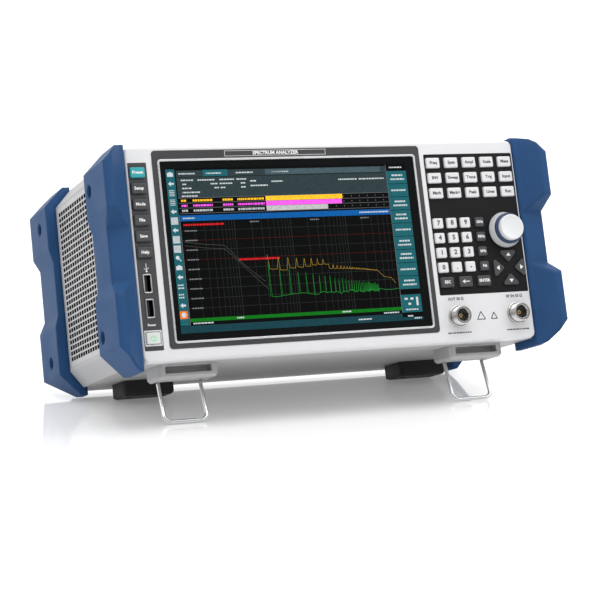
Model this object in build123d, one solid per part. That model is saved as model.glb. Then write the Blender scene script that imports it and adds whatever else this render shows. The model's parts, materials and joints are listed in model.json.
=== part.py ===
"""Bench spectrum analyzer, standing tilted back on its two fold-out wire bails.

Every piece is modelled level: X to the viewer's right, Y to the back, Z up, with the front
face of the bezel on Y = 0 and the underside of the case on Z = 0.  standing() then tilts
each piece back and sets the whole instrument on the floor plane.  Millimetres throughout.
"""

import os
from math import cos, radians, sin, tan

from build123d import *

# ---- overall ----------------------------------------------------------------
TILT = 16.0                  # lean-back angle with the bails out, degrees
CASE_HALF = 193.0            # case, half width
CASE_TOP = 175.0
CASE_DEPTH = 200.0           # bezel face to rear panel face
CASE_WALL = 2.0
SLEEVE_FRONT = 8.0
TOP_CHAMFER = (14.0, 15.5)   # across, down
LOW_CHAMFER = (10.5, 14.0)
PANEL = 2.5                  # rear panel thickness
BEZEL_HALF = 178.5
BEZEL_DEPTH = 14.0
BEZEL_SKIN = 3.5
BEZEL_WALL = 1.5
GAP = 0.3                    # assembly clearance around keys and plates
GRILLE_Y, GRILLE_Z = (44.0, 157.0), (18.0, 157.0)
GRILLE_SHEET = 1.2
SLOT, SLOT_PITCH, SLOT_GRID = (5.7, 3.4), (7.2, 4.9), (15, 27)

# ---- display ----------------------------------------------------------------
FRAME_X, FRAME_Z = (-156.0, 86.3), (9.3, 171.7)
TRIM_X, TRIM_Z = (-151.5, 82.0), (13.4, 164.5)
TRIM_WIDTH = 1.8
LCD_SIZE = (228.0, 146.0, 6.5)

# ---- overlays and keys ------------------------------------------------------
STRIP_X, STRIP_Z = (-177.0, -161.0), (8.8, 162.0)
PAD_X, PAD_Z = (90.4, 176.8), (40.6, 164.0)
OVERLAY = 0.9
KEY_PROUD = 2.2
KEY_BACK = 5.2
KEY_TRAVEL = 1.2             # to the dome behind the key
BOARD_Y = 9.4
SIDE_KEYS_X = -169.5
SIDE_KEYS_Z = 153.7
SIDE_PITCH = 13.1
SIDE_KEY = (12.6, 8.6)
SIDE_NAMES = ("preset_key", "system_key", "mode_key", "file_key", "save_key", "help_key")
FUNCTION_XZ = (98.2, 156.1)
FUNCTION_PITCH = (17.5, 13.35)
FUNCTION_KEY = (12.6, 9.0)
NUMBER_XZ = (96.3, 103.0)
NUMBER_PITCH = (13.1, 12.85)
NUMBER_KEY = (9.2, 8.8)
UNIT_X = 136.2
UNIT_KEY = (8.2, 8.2)
CONTROL_XZ = (98.3, 51.6)
CONTROL_PITCH = 17.9
CONTROL_KEY = (12.4, 9.0)
CONTROL_NAMES = ("escape_key", "backspace_key", "enter_key")
ARROW_XZ = (160.6, 62.0)
ARROW_REACH = 15.2
ARROW_BASE, ARROW_DEPTH = 18.0, 10.6
ARROW_NAMES = ("right_arrow_key", "up_arrow_key", "left_arrow_key", "down_arrow_key")
POWER_XZ = (-169.2, 18.9)
POWER_KEY = (11.8, 9.4)
POWER_FRAME = (15.4, 12.8)
USB_X, USB_Z = -169.3, (63.2, 43.0)
USB_RIM = (7.2, 15.6)

# ---- knob and connectors ----------------------------------------------------
KNOB_XZ = (160.6, 95.2)
KNOB_R, KNOB_RING_R, SKIRT_R = 11.0, 13.0, 15.6
KNOB_FACE = 15.0
SHAFT_R = 3.0
RUNNING = 0.05
JACK_Z, JACKS_X = 22.0, {"generator_jack": 105.5, "rf_input_jack": 162.5}
N_THREAD_R, N_FLANGE_R, N_BORE_R = 7.94, 9.4, 4.7
N_PROUD, N_FLANGE = 9.5, 2.3

# ---- bumpers ----------------------------------------------------------------
BUMPER_X = 202.5
BUMPER_WAIST_X = 199.3
BUMPER_INNER_X = 179.0
BUMPER_Z = (-7.0, 178.0)
BUMPER_FRONT = 17.5          # crest stands this far ahead of the bezel
BUMPER_BACK = 38.8           # rear edge of the side flank
CREST_X = 195.3
CREST_SOFTNESS = 1.6
NOTCH_Z = (54.0, 64.5, 110.5, 123.0)
BUMPER_SCREWS_Z = (25.0, 145.0)
SCREW_R, COUNTERBORE_R = 2.0, 5.6
SCREW_Y = (26.5, 14.5)       # behind the bezel face, ahead of the rear panel face
FRONT_HEEL = (3.0, 4.5)      # where the lower end starts to rise, and by how much
REAR_HEEL = (22.0, 20.0)     # raked further, to clear the floor

# ---- feet and bails ---------------------------------------------------------
FEET_X = 132.8
FRONT_FOOT = (52.0, 11.5)    # width, drop below the case
FRONT_FOOT_Y = (26.0, 60.0)
REAR_FOOT = (46.0, 13.5)
REAR_FOOT_Y = (130.0, 167.0)
RECESS_HALF, RECESS_DEPTH = 20.0, 9.0
RECESS_Z = (-7.2, -1.4)
FLOOR_Z0 = -59.2             # floor height under Y = 0, in the level frame
WIRE_R = 1.6
BAIL_HALF = 18.5
BAIL_PIVOT = (54.0, -7.2)
BAIL_FOOT_Y = 43.2
BAIL_STUB = 24.0
CHANNEL_HALF = 21.0
CHANNEL_Y = 50.0             # its front wall is the stop for the bail
WELL_Z = -8.5                # floor of the screw wells in the feet
FRONT_SCREW = (15.0, 42.5)   # offset from the foot's middle, distance back
REAR_SCREW = (15.0, 144.0)

# ---- rear and inside --------------------------------------------------------
FAN_XZ, FAN_SIZE, FAN_DEPTH = (-118.0, 88.0), 60.0, 15.0
FAN_GUARD_R, FAN_SLOT_PITCH, FAN_SLOT = 27.5, 6.0, 3.2
FAN_BLADES = 7
INLET_XZ = (132.0, 36.0)
INLET_CAVITY = (24.4, 17.0, 15.5)
ROCKER_Z = 68.0
ROCKER = (18.6, 12.4)
ROCKER_SWING = 9.0           # each way from level, degrees
ROCKER_AXIS = (CASE_DEPTH - 4.0, ROCKER_Z)
REAR_BNC_X, REAR_BNC_Z = (-20.0, 12.0, 44.0), 120.0
LAN_XZ = (-22.0, 44.0)
USB_B_XZ = (10.0, 44.0)
VIDEO_XZ = (42.0, 44.0)

TAU = radians(TILT)


def floor_z(y):
    """Height of the floor below a level-frame point at depth y."""
    return FLOOR_Z0 + y * tan(TAU)


def slab(sketch, front, back):
    """An XZ sketch as a plate from Y = front to Y = back."""
    return extrude(Plane.XZ.offset(-back) * sketch, back - front)


def span(x, z, radius=0.0):
    """Rectangle over an x range and a z range."""
    width, height = x[1] - x[0], z[1] - z[0]
    shape = RectangleRounded(width, height, radius) if radius else Rectangle(width, height)
    return Pos((x[0] + x[1]) / 2, (z[0] + z[1]) / 2) * shape


def block(x, y, z):
    """Box over three ranges."""
    size = [axis[1] - axis[0] for axis in (x, y, z)]
    centre = [(axis[0] + axis[1]) / 2 for axis in (x, y, z)]
    return Pos(*centre) * Box(*size)


def prism(plane, points, length):
    """Straight prism along the plane's normal, whichever way round its corners run."""
    return extrude(plane * Polygon(*points, align=None), length, dir=plane.z_dir)


def rod(x, z, radius, front, back):
    """Round bar along Y."""
    return slab(Pos(x, z) * Circle(radius), front, back)


def front_edges(part):
    return part.faces().sort_by(Axis.Y)[0].edges()


# ---- key positions ----------------------------------------------------------
def side_key_spots():
    return {
        name: (SIDE_KEYS_X, SIDE_KEYS_Z - SIDE_PITCH * row)
        for row, name in enumerate(SIDE_NAMES)
    }


def function_row(row):
    across, down = FUNCTION_PITCH
    return [(FUNCTION_XZ[0] + across * i, FUNCTION_XZ[1] - down * row) for i in range(5)]


def number_row(row):
    across, down = NUMBER_PITCH
    return [(NUMBER_XZ[0] + across * i, NUMBER_XZ[1] - down * row) for i in range(3)]


def unit_spots():
    return [(UNIT_X, NUMBER_XZ[1] - NUMBER_PITCH[1] * row) for row in range(4)]


def control_spots():
    return {
        name: (CONTROL_XZ[0] + CONTROL_PITCH * i, CONTROL_XZ[1])
        for i, name in enumerate(CONTROL_NAMES)
    }


def arrow_outline(turn, grow=0.0):
    """Rounded triangle whose base faces outward, turned in quarter turns."""
    reach, half, depth = ARROW_REACH + grow, ARROW_BASE / 2 + 1.6 * grow, ARROW_DEPTH + 2 * grow
    outline = Polygon((reach, -half), (reach, half), (reach - depth, 0), align=None)
    outline = fillet(outline.vertices(), 1.6)
    return Pos(*ARROW_XZ) * (Rot(0, 0, 90 * turn) * outline)


def key_apertures(grow):
    """All openings that keys come through on the two overlays."""
    holes = []
    for spot in side_key_spots().values():
        holes.append((spot, SIDE_KEY))
    for row in range(3):
        holes += [(spot, FUNCTION_KEY) for spot in function_row(row)]
    for row in range(4):
        holes += [(spot, NUMBER_KEY) for spot in number_row(row)]
    holes += [(spot, UNIT_KEY) for spot in unit_spots()]
    holes += [(spot, CONTROL_KEY) for spot in control_spots().values()]
    holes.append((POWER_XZ, POWER_KEY))
    shapes = [
        Pos(*spot) * RectangleRounded(size[0] + 2 * grow, size[1] + 2 * grow, 1.2)
        for spot, size in holes
    ]
    shapes += [arrow_outline(turn, grow) for turn in range(4)]
    return Sketch() + shapes


def port_apertures(grow):
    width, height = USB_RIM
    return Sketch() + [
        Pos(USB_X, z) * RectangleRounded(width + 2 * grow, height + 2 * grow, 1.0) for z in USB_Z
    ]


# ---- front ------------------------------------------------------------------
def front_bezel():
    outline = span((-BEZEL_HALF, BEZEL_HALF), (0, CASE_TOP), 5.0)
    body = slab(outline, 0, BEZEL_DEPTH)
    body = fillet(front_edges(body), 2.0)
    inner = span(
        (-BEZEL_HALF + BEZEL_WALL, BEZEL_HALF - BEZEL_WALL),
        (BEZEL_WALL, CASE_TOP - BEZEL_WALL),
        3.6,
    )
    body -= slab(inner, BEZEL_SKIN, BEZEL_DEPTH + 1)
    body -= slab(span(FRAME_X, FRAME_Z, 3.0), -1, BEZEL_SKIN + 1)
    body -= slab(span(STRIP_X, STRIP_Z, 0.8), -1, OVERLAY)
    body -= slab(span(PAD_X, PAD_Z, 1.2), -1, OVERLAY)
    through = key_apertures(GAP) + port_apertures(GAP)
    through += Pos(*KNOB_XZ) * Circle(SHAFT_R + 1.6)
    through += [Pos(x, JACK_Z) * Circle(N_THREAD_R) for x in JACKS_X.values()]
    return body - slab(through, -1, BEZEL_SKIN + 1)


def display_frame():
    ring = span(FRAME_X, FRAME_Z, 3.0) - span(TRIM_X, TRIM_Z, 3.0)
    frame = slab(ring, -0.5, 6.0)
    lip = span(TRIM_X, TRIM_Z) - Pos(*glass_centre()) * Rectangle(LCD_SIZE[0] + 1, LCD_SIZE[1] + 1)
    return fillet(front_edges(frame), 0.3) + slab(lip, 2.3, 6.0)


def glass_span():
    x = (TRIM_X[0] + TRIM_WIDTH, TRIM_X[1] - TRIM_WIDTH)
    z = (TRIM_Z[0] + TRIM_WIDTH, TRIM_Z[1] - TRIM_WIDTH)
    return x, z


def glass_centre():
    x, z = glass_span()
    return sum(x) / 2, sum(z) / 2


def display_trim():
    ring = span(TRIM_X, TRIM_Z, 3.0) - span(*glass_span(), 1.6)
    return chamfer(front_edges(slab(ring, -1.2, 2.3)), 0.5)


def touch_glass():
    return slab(span(*glass_span(), 1.6), 0.4, 2.3)


def lcd_module():
    width, height, depth = LCD_SIZE
    x, z = glass_centre()
    panel = slab(Pos(x, z) * RectangleRounded(width, height, 1.5), 2.3, 2.3 + depth)
    return panel + slab(Pos(x, z) * RectangleRounded(width - 24, height - 30, 4), 8.8, 11.0)


def left_overlay():
    plate = span(STRIP_X, STRIP_Z, 0.8) - key_apertures(GAP) - port_apertures(GAP)
    plate -= Pos(*POWER_XZ) * RectangleRounded(*POWER_FRAME, 1.4)
    return slab(plate, 0.1, OVERLAY)


def keypad_overlay():
    plate = span(PAD_X, PAD_Z, 1.2) - key_apertures(GAP)
    return slab(plate - Pos(*KNOB_XZ) * Circle(SHAFT_R + 1.6), 0.1, OVERLAY)


def power_key_frame():
    inner = (POWER_KEY[0] + 2 * GAP, POWER_KEY[1] + 2 * GAP)
    ring = RectangleRounded(*POWER_FRAME, 1.4) - RectangleRounded(*inner, 1.0)
    return chamfer(front_edges(slab(Pos(*POWER_XZ) * ring, -0.9, OVERLAY)), 0.35)


def keycap(outline, retainer, proud=KEY_PROUD, crown=0.9):
    """A cap with a softened face and a wider retaining flange behind the skin."""
    cap = slab(outline, -proud, BEZEL_SKIN + GAP)
    cap = fillet(front_edges(cap), crown)
    return cap + slab(retainer, BEZEL_SKIN + GAP, KEY_BACK)


def square_key(spot, size, proud=KEY_PROUD):
    outline = Pos(*spot) * RectangleRounded(*size, 1.1)
    retainer = Pos(*spot) * Rectangle(size[0] + 1.2, size[1] + 1.2)
    return keycap(outline, retainer, proud)


def arrow_key(turn):
    return keycap(arrow_outline(turn), arrow_outline(turn, 0.5), 1.8, 0.6)


def key_row(spots, size):
    return [square_key(spot, size) for spot in spots]


def tuning_knob():
    """White cap, bored to fit over the shaft."""
    cap = rod(*KNOB_XZ, KNOB_R, -KNOB_FACE, -4.6)
    cap = fillet(front_edges(cap), 1.2)
    cap -= rod(*KNOB_XZ, SHAFT_R, -12.0, -4.0)
    return cap


def knob_skirt():
    """Finger ring and flange that turn with the cap, on the encoder shaft."""
    flange = rod(*KNOB_XZ, SKIRT_R, -4.6, -1.2)
    flange = chamfer(front_edges(flange), 1.5)
    ring = rod(*KNOB_XZ, KNOB_RING_R, -9.5, -4.6) - rod(*KNOB_XZ, KNOB_R, -10.5, -4.6)
    shaft = rod(*KNOB_XZ, SHAFT_R, -12.0, 9.0)
    return flange + ring + shaft


def keypad_board():
    """Key board with its snap domes, and the encoder body behind the knob."""
    boards = span((-176.6, -157.5), (10.0, 161.0)) + span((88.0, 176.6), (42.0, 163.0))
    holes = [Pos(USB_X, z) * Rectangle(9.0, 17.0) for z in USB_Z]
    boards -= Sketch() + holes + [Pos(*KNOB_XZ) * Circle(7.2)]
    pieces = slab(boards, BOARD_Y, BOARD_Y + 1.6).solids()
    spots = list(side_key_spots().values()) + unit_spots() + list(control_spots().values())
    spots += [POWER_XZ]
    for row in range(3):
        spots += function_row(row)
    for row in range(4):
        spots += number_row(row)
    for turn in range(4):
        angle = radians(90 * turn)
        spots.append((ARROW_XZ[0] + 10.5 * cos(angle), ARROW_XZ[1] + 10.5 * sin(angle)))
    dome = KEY_BACK + KEY_TRAVEL + 0.8
    pieces += [rod(*spot, 2.6, dome, BOARD_Y) for spot in spots]
    encoder = rod(*KNOB_XZ, 6.6, 5.0, 16.0) - rod(*KNOB_XZ, SHAFT_R + RUNNING, 4.0, BOARD_Y)
    return pieces + [encoder]


def front_usb_ports():
    """Two receptacles: a rolled steel shell around a plastic tongue."""
    pieces = []
    width, height = USB_RIM
    for z in USB_Z:
        rim = Pos(USB_X, z) * RectangleRounded(width, height, 1.0)
        core = Pos(USB_X, z) * RectangleRounded(width - 2.0, height - 2.0, 0.6)
        shell = slab(rim - core, -0.5, 14.0)
        pieces.append(chamfer(front_edges(shell), 0.3))
        pieces.append(slab(core, 12.0, 14.0))
        tongue = span((USB_X - 2.0, USB_X - 0.2), (z - 5.8, z + 5.8))
        pieces.append(slab(tongue, 1.2, 12.0))
    return pieces


def n_jack(name):
    """Type N panel jack: threaded nose, flange against the bezel, body and rear nut."""
    x = JACKS_X[name]
    nose = rod(x, JACK_Z, N_THREAD_R, -N_PROUD, 16.0)
    nose = chamfer(front_edges(nose), 0.4)
    nose += rod(x, JACK_Z, N_FLANGE_R, -N_FLANGE, 0)
    nose -= rod(x, JACK_Z, N_BORE_R, -N_PROUD - 1, 1.0)
    nose -= rod(x, JACK_Z, 2.0, 0, 18.0)
    return nose + (slab(Pos(x, JACK_Z) * (RegularPolygon(10.6, 6) - Circle(2.0)), 16.0, 20.0))


def jack_centres():
    """Insulator bead and centre contact of both front jacks."""
    pieces = []
    for x in JACKS_X.values():
        bead = rod(x, JACK_Z, N_BORE_R, -2.6, 1.0) - rod(x, JACK_Z, 1.5, -3, 2)
        socket = rod(x, JACK_Z, 1.5, -4.5, 22.0) - rod(x, JACK_Z, 0.85, -5.0, -1.0)
        pieces += [bead, socket]
    return pieces


# ---- case -------------------------------------------------------------------
def case_outline(inset=0.0):
    half, top, low = CASE_HALF - inset, CASE_TOP - inset, inset
    over, down = TOP_CHAMFER
    under, up = LOW_CHAMFER
    right = [
        (half - under, low),
        (half, low + up),
        (half, top - down),
        (half - over, top),
    ]
    left = [(-x, z) for x, z in reversed(right)]
    return Polygon(*(right + left), align=None)


def grille_window():
    return span(GRILLE_Y, GRILLE_Z, 2.0)


def case_sleeve():
    """Bent sheet sleeve, open at both ends, with a window in each side for the grilles."""
    sleeve = slab(case_outline() - case_outline(CASE_WALL), SLEEVE_FRONT, CASE_DEPTH - PANEL)
    bezel_seat = span((-BEZEL_HALF, BEZEL_HALF), (0, CASE_TOP), 5.0)
    sleeve -= slab(bezel_seat, 0, BEZEL_DEPTH)
    window = Plane.YZ.offset(-CASE_HALF - 1) * grille_window()
    return sleeve - extrude(window, 2 * CASE_HALF + 2)


def side_grille(side):
    """Perforated panel: rows of short slots between slim webs."""
    middle = Pos(sum(GRILLE_Y) / 2, sum(GRILLE_Z) / 2)
    holes = [middle * hole for hole in GridLocations(*SLOT_PITCH, *SLOT_GRID) * Rectangle(*SLOT)]
    panel = grille_window() - (Sketch() + holes)
    plate = extrude(Plane.YZ.offset(CASE_HALF - GRILLE_SHEET) * panel, GRILLE_SHEET)
    return plate if side > 0 else mirror(plate, Plane.YZ)


def rear_panel():
    panel = case_outline(CASE_WALL)
    panel -= Pos(*INLET_XZ) * RectangleRounded(28.4, 21.0, 2.0)
    panel -= Pos(INLET_XZ[0], ROCKER_Z) * RectangleRounded(22.0, 16.0, 1.0)
    panel -= Sketch() + [Pos(x, REAR_BNC_Z) * Circle(5.6) for x in REAR_BNC_X]
    panel -= Pos(*LAN_XZ) * Rectangle(16.2, 13.8)
    panel -= Pos(*USB_B_XZ) * Rectangle(12.6, 11.4)
    panel -= Pos(*VIDEO_XZ) * Rectangle(15.4, 6.2)
    for row in range(-4, 5):
        rise = row * FAN_SLOT_PITCH
        width = 2 * (FAN_GUARD_R**2 - rise**2) ** 0.5 - FAN_SLOT
        panel -= Pos(FAN_XZ[0], FAN_XZ[1] + rise) * SlotOverall(width, FAN_SLOT)
    return slab(panel, CASE_DEPTH - PANEL, CASE_DEPTH)


# ---- bumpers ----------------------------------------------------------------
def bumper_outline():
    """Front-view outline of the right-hand bumper, waisted between its two blocks."""
    low, top = BUMPER_Z
    z1, z2, z3, z4 = NOTCH_Z
    points = [
        (BUMPER_INNER_X, low),
        (BUMPER_INNER_X + 5.5, low),
        (BUMPER_X, 12.0),
        (BUMPER_X, z1),
        (BUMPER_WAIST_X, z2),
        (BUMPER_WAIST_X, z3),
        (BUMPER_X, z4),
        (BUMPER_X, 161.0),
        (BUMPER_INNER_X + 6.5, top),
        (BUMPER_INNER_X, top),
    ]
    return Polygon(*points, align=None)


def bumper(notch_y, screw_y, seat_y, heel):
    """Right front bumper: recess floor at notch_y, seated over the case behind seat_y."""
    low, top = BUMPER_Z
    z1, z2, z3, z4 = NOTCH_Z
    body = slab(bumper_outline(), -BUMPER_FRONT, BUMPER_BACK)
    past = BUMPER_FRONT + 10
    face = [
        (BUMPER_INNER_X - 1, 0.4),
        (BUMPER_INNER_X, 0),
        (BUMPER_INNER_X + 4.4, -3.2),
        (CREST_X, -BUMPER_FRONT),
        (CREST_X, -past),
        (BUMPER_INNER_X - 1, -past),
    ]
    body -= prism(Plane.XY.offset(low - 1), face, top - low + 2)
    notch = [
        (-past, z1 - 8),
        (-BUMPER_FRONT, z1),
        (notch_y, z2),
        (notch_y, z3),
        (-BUMPER_FRONT, z4),
        (-past, z4 + 8),
    ]
    run, rise = heel
    tip = low + rise
    ends = [
        [(-past, top - 11), (-BUMPER_FRONT, top - 6.5), (3, top), (3, top + 9), (-past, top + 9)],
        [(-past, tip + 4.5), (-BUMPER_FRONT, tip), (run, low), (run, low - 9), (-past, low - 9)],
    ]
    for profile in [notch] + ends:
        across = BUMPER_X - BUMPER_INNER_X + 4
        body -= prism(Plane.YZ.offset(BUMPER_INNER_X - 2), profile, across)
    crest = [edge for edge in body.edges() if abs(edge.center().Y + BUMPER_FRONT) < 0.01]
    body = fillet(crest, CREST_SOFTNESS)
    body -= slab(case_outline(), seat_y, BUMPER_BACK + 1)
    for z in BUMPER_SCREWS_Z:
        side = Plane.YZ.offset(CASE_HALF - 1)
        body -= extrude(side * (Pos(screw_y, z) * Circle(SCREW_R + GAP)), 12)
        body -= extrude(side.offset(5.0) * (Pos(screw_y, z) * Circle(COUNTERBORE_R)), 12)
    return body


def bumper_at(right, front):
    if front:
        part = bumper(-1.2, SCREW_Y[0], SLEEVE_FRONT, FRONT_HEEL)
    else:
        part = mirror(bumper(-8.0, SCREW_Y[1], 0, REAR_HEEL), Plane.XZ.offset(-CASE_DEPTH / 2))
    return part if right else mirror(part, Plane.YZ)


def bumper_screws():
    """Pan-head screws seated at the bottom of the bumper counterbores."""
    pieces = []
    for y in (SCREW_Y[0], CASE_DEPTH - SCREW_Y[1]):
        for z in BUMPER_SCREWS_Z:
            side = Plane.YZ.offset(CASE_HALF)
            shank = extrude(side * (Pos(y, z) * Circle(SCREW_R)), 4.0)
            head = extrude(side.offset(4.0) * (Pos(y, z) * Circle(4.2)), 2.6)
            head = chamfer(head.faces().sort_by(Axis.X)[-1].edges(), 0.6)
            slots = Rectangle(4.6, 1.0) + Rectangle(1.0, 4.6)
            head -= extrude(side.offset(5.4) * (Pos(y, z) * slots), 2.0)
            screw = shank + head
            pieces += [screw, mirror(screw, Plane.YZ)]
    return pieces


# ---- feet and bails ---------------------------------------------------------
def foot_blank(size, y):
    width, drop = size
    body = block((FEET_X - width / 2, FEET_X + width / 2), y, (-drop, 0))
    upright = body.edges().filter_by(Axis.Z)
    body = fillet(upright, 4.0)
    under = body.faces().sort_by(Axis.Z)[0].edges()
    return chamfer(under, 2.0)


def screw_well(x, y):
    return Pos(x, y, WELL_Z) * Cylinder(3.2, 10, align=(Align.CENTER, Align.CENTER, Align.MAX))


def both_sides(part):
    return [part, mirror(part, Plane.YZ)]


def front_feet():
    """Bail feet: finger recess in the nose, channel for the bail, cross-drilled for its ends."""
    body = foot_blank(FRONT_FOOT, FRONT_FOOT_Y)
    drop = FRONT_FOOT[1]
    nose, tail = FRONT_FOOT_Y
    recess = (FEET_X - RECESS_HALF, FEET_X + RECESS_HALF)
    channel = (FEET_X - CHANNEL_HALF, FEET_X + CHANNEL_HALF)
    body -= block(recess, (nose - 1, nose + RECESS_DEPTH), RECESS_Z)
    body -= block(channel, (CHANNEL_Y, tail + 1), (-drop - 1, -2.5))
    y, z = BAIL_PIVOT
    bore = Plane.YZ.offset(FEET_X - BAIL_STUB - 0.5) * (Pos(y, z) * Circle(WIRE_R + RUNNING))
    body -= extrude(bore, 2 * BAIL_STUB + 1)
    for x in (FEET_X - FRONT_SCREW[0], FEET_X + FRONT_SCREW[0]):
        body -= screw_well(x, FRONT_SCREW[1])
    return both_sides(body)


def rear_feet():
    """Rear feet, their heels cut to lie flat on the floor when the bails are out."""
    body = foot_blank(REAR_FOOT, REAR_FOOT_Y)
    width, drop = REAR_FOOT
    tail = REAR_FOOT_Y[1]
    toe_y = (-drop - FLOOR_Z0) / tan(TAU)
    start, end = toe_y - 1, tail + 1
    heel = [(start, floor_z(start)), (end, floor_z(end)), (end, -30), (start, -30)]
    body -= prism(Plane.YZ.offset(FEET_X - width), heel, 2 * width)
    for x in (FEET_X - REAR_SCREW[0], FEET_X + REAR_SCREW[0]):
        body -= screw_well(x, REAR_SCREW[1])
    return both_sides(body)


def bail(side):
    """Wire bail: ends turned outward into the foot, legs down to a straight bar."""
    y, z = BAIL_PIVOT
    foot = (BAIL_FOOT_Y, floor_z(BAIL_FOOT_Y) + WIRE_R / cos(TAU))
    corners = [
        (FEET_X - BAIL_STUB, y, z),
        (FEET_X - BAIL_HALF, y, z),
        (FEET_X - BAIL_HALF, *foot),
        (FEET_X + BAIL_HALF, *foot),
        (FEET_X + BAIL_HALF, y, z),
        (FEET_X + BAIL_STUB, y, z),
    ]
    path = FilletPolyline(*corners, radius=[3.0, 6.0, 6.0, 3.0])
    profile = Plane(origin=corners[0], z_dir=(1, 0, 0)) * Circle(WIRE_R)
    wire = sweep(profile, path=path)
    return wire if side > 0 else mirror(wire, Plane.YZ)


def case_screws():
    """Screws of the rear panel and of the feet."""
    pieces = []
    for x in (-150.0, -60.0, 70.0, 165.0):
        for z in (14.0, CASE_TOP - 14.0):
            pieces.append(rod(x, z, 3.2, CASE_DEPTH, CASE_DEPTH + 1.8))
    for x, y in (FRONT_SCREW, REAR_SCREW):
        for side in (-1, 1):
            head = Pos(FEET_X + side * x, y, WELL_Z - 1.1) * Cylinder(2.9, 2.2)
            pieces += both_sides(head)
    return pieces


# ---- rear connectors --------------------------------------------------------
def rear_bnc_jacks():
    pieces = []
    back = CASE_DEPTH
    for x in REAR_BNC_X:
        shell = rod(x, REAR_BNC_Z, 4.85, back, back + 11) + rod(x, REAR_BNC_Z, 6.6, back, back + 2)
        shell += rod(x, REAR_BNC_Z, 5.6, back - 10, back)
        lug = Plane.YZ.offset(x - 5.8) * (Pos(back + 7.5, REAR_BNC_Z) * Circle(1.0))
        shell += extrude(lug, 11.6)
        shell -= rod(x, REAR_BNC_Z, 4.1, back + 2.5, back + 12)
        pieces += [shell, rod(x, REAR_BNC_Z, 0.9, back + 2.5, back + 8)]
    return pieces


def port_box(spot, outer, inner, depth, back=0.8):
    """A shielded receptacle: a box with a pocket that opens to the rear."""
    y = CASE_DEPTH + back
    shell = slab(Pos(*spot) * Rectangle(*outer), y - depth - 2, y)
    return shell - slab(Pos(*spot) * Rectangle(*inner), y - depth, y + 1)


def rear_data_ports():
    """Network jack, square peripheral port and flat video port."""
    network = port_box(LAN_XZ, (16.0, 13.6), (12.4, 9.2), 13.0)
    square = port_box(USB_B_XZ, (12.4, 11.2), (9.0, 8.0), 9.0)
    core = slab(Pos(*USB_B_XZ) * Rectangle(5.0, 3.2), CASE_DEPTH - 8.2, CASE_DEPTH)
    video = port_box(VIDEO_XZ, (15.2, 6.0), (13.8, 4.4), 9.0)
    blade = slab(Pos(*VIDEO_XZ) * Rectangle(10.5, 1.0), CASE_DEPTH - 8.2, CASE_DEPTH)
    return [network, square, core, video, blade]


def mains_inlet():
    """Appliance inlet with three pins, and the frame of the rocker switch above it."""
    width, height, depth = INLET_CAVITY
    x, z = INLET_XZ
    y = CASE_DEPTH
    body = slab(Pos(x, z) * RectangleRounded(28.0, 20.6, 2.0), y - 18, y)
    low, top = z - 14.0, ROCKER_Z + 12.0
    flange = span((x - 17.0, x + 17.0), (low, top), 3.0)
    body += slab(flange, y, y + 2.4)
    body += slab(Pos(x, ROCKER_Z) * RectangleRounded(21.6, 15.6, 1.0), y - 14, y)
    cavity = Pos(x, z) * chamfer(Rectangle(width, height).vertices().group_by(Axis.Y)[-1], 4.0)
    body -= slab(cavity, y + 2.4 - depth, y + 3)
    body -= slab(Pos(x, ROCKER_Z) * Rectangle(ROCKER[0] + 0.6, ROCKER[1] + 1.8), y - 12, y + 3)
    y, z_axis = ROCKER_AXIS
    bore = Plane.YZ.offset(x - ROCKER[0] / 2 - 1.2) * (Pos(y, z_axis) * Circle(1.0 + RUNNING))
    body -= extrude(bore, ROCKER[0] + 2.4)
    pins = [
        slab(Pos(x + dx, z + dz) * Rectangle(2.0, 4.0), CASE_DEPTH + 2.4 - depth, CASE_DEPTH - 0.5)
        for dx, dz in ((-7.0, -1.6), (7.0, -1.6), (0.0, 2.4))
    ]
    return [body] + pins


def mains_rocker():
    """Rocker at its off stop: two lands that meet over the pivot, and its two trunnions."""
    x = INLET_XZ[0]
    half = ROCKER[1] / 2
    rise = half * tan(radians(ROCKER_SWING))
    profile = [
        (-1.6, 1.2 - half),
        (6.6 + rise, 0.7 - half),
        (6.6, 0),
        (6.6 + rise, half - 0.7),
        (-1.6, half - 1.2),
    ]
    body = prism(Plane.YZ.offset(-ROCKER[0] / 2), profile, ROCKER[0])
    body += extrude(Plane.YZ.offset(-ROCKER[0] / 2 - 1.0) * Circle(1.0), ROCKER[0] + 2.0)
    return Pos(x, *ROCKER_AXIS) * (Rot(-ROCKER_SWING, 0, 0) * body)


# ---- inside -----------------------------------------------------------------
def fan_frame():
    y = CASE_DEPTH - PANEL
    x, z = FAN_XZ
    frame = Rectangle(FAN_SIZE, FAN_SIZE) - Circle(28.8)
    holes = GridLocations(50, 50, 2, 2) * Circle(2.1)
    body = slab(Pos(x, z) * (frame - (Sketch() + holes)), y - FAN_DEPTH, y)
    spokes = Sketch() + [Rot(0, 0, 45 + 90 * i) * Rectangle(58.4, 3.0) for i in range(2)]
    body += slab(Pos(x, z) * (spokes & Circle(29.2)), y - FAN_DEPTH, y - FAN_DEPTH + 2.0)
    body += rod(x, z, 13.0, y - FAN_DEPTH, y - FAN_DEPTH + 2.0)
    return body - rod(x, z, 1.5 + RUNNING, y - FAN_DEPTH - 1, y)


def fan_rotor():
    """Hub with pitched blades on a short axle."""
    y = CASE_DEPTH - PANEL
    x, z = FAN_XZ
    hub = rod(x, z, 12.5, y - FAN_DEPTH + 2.6, y - 1.0) + rod(x, z, 1.5, y - FAN_DEPTH, y - 2)
    blade = Pos(0, 0, 19.4) * (Rot(0, 0, 40) * Box(8.5, 1.2, 16.5))
    middle = Pos(x, y - FAN_DEPTH / 2 + 0.8, z)
    turns = [Rot(0, i * 360 / FAN_BLADES, 0) for i in range(FAN_BLADES)]
    return hub + [middle * (turn * blade) for turn in turns]


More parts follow.
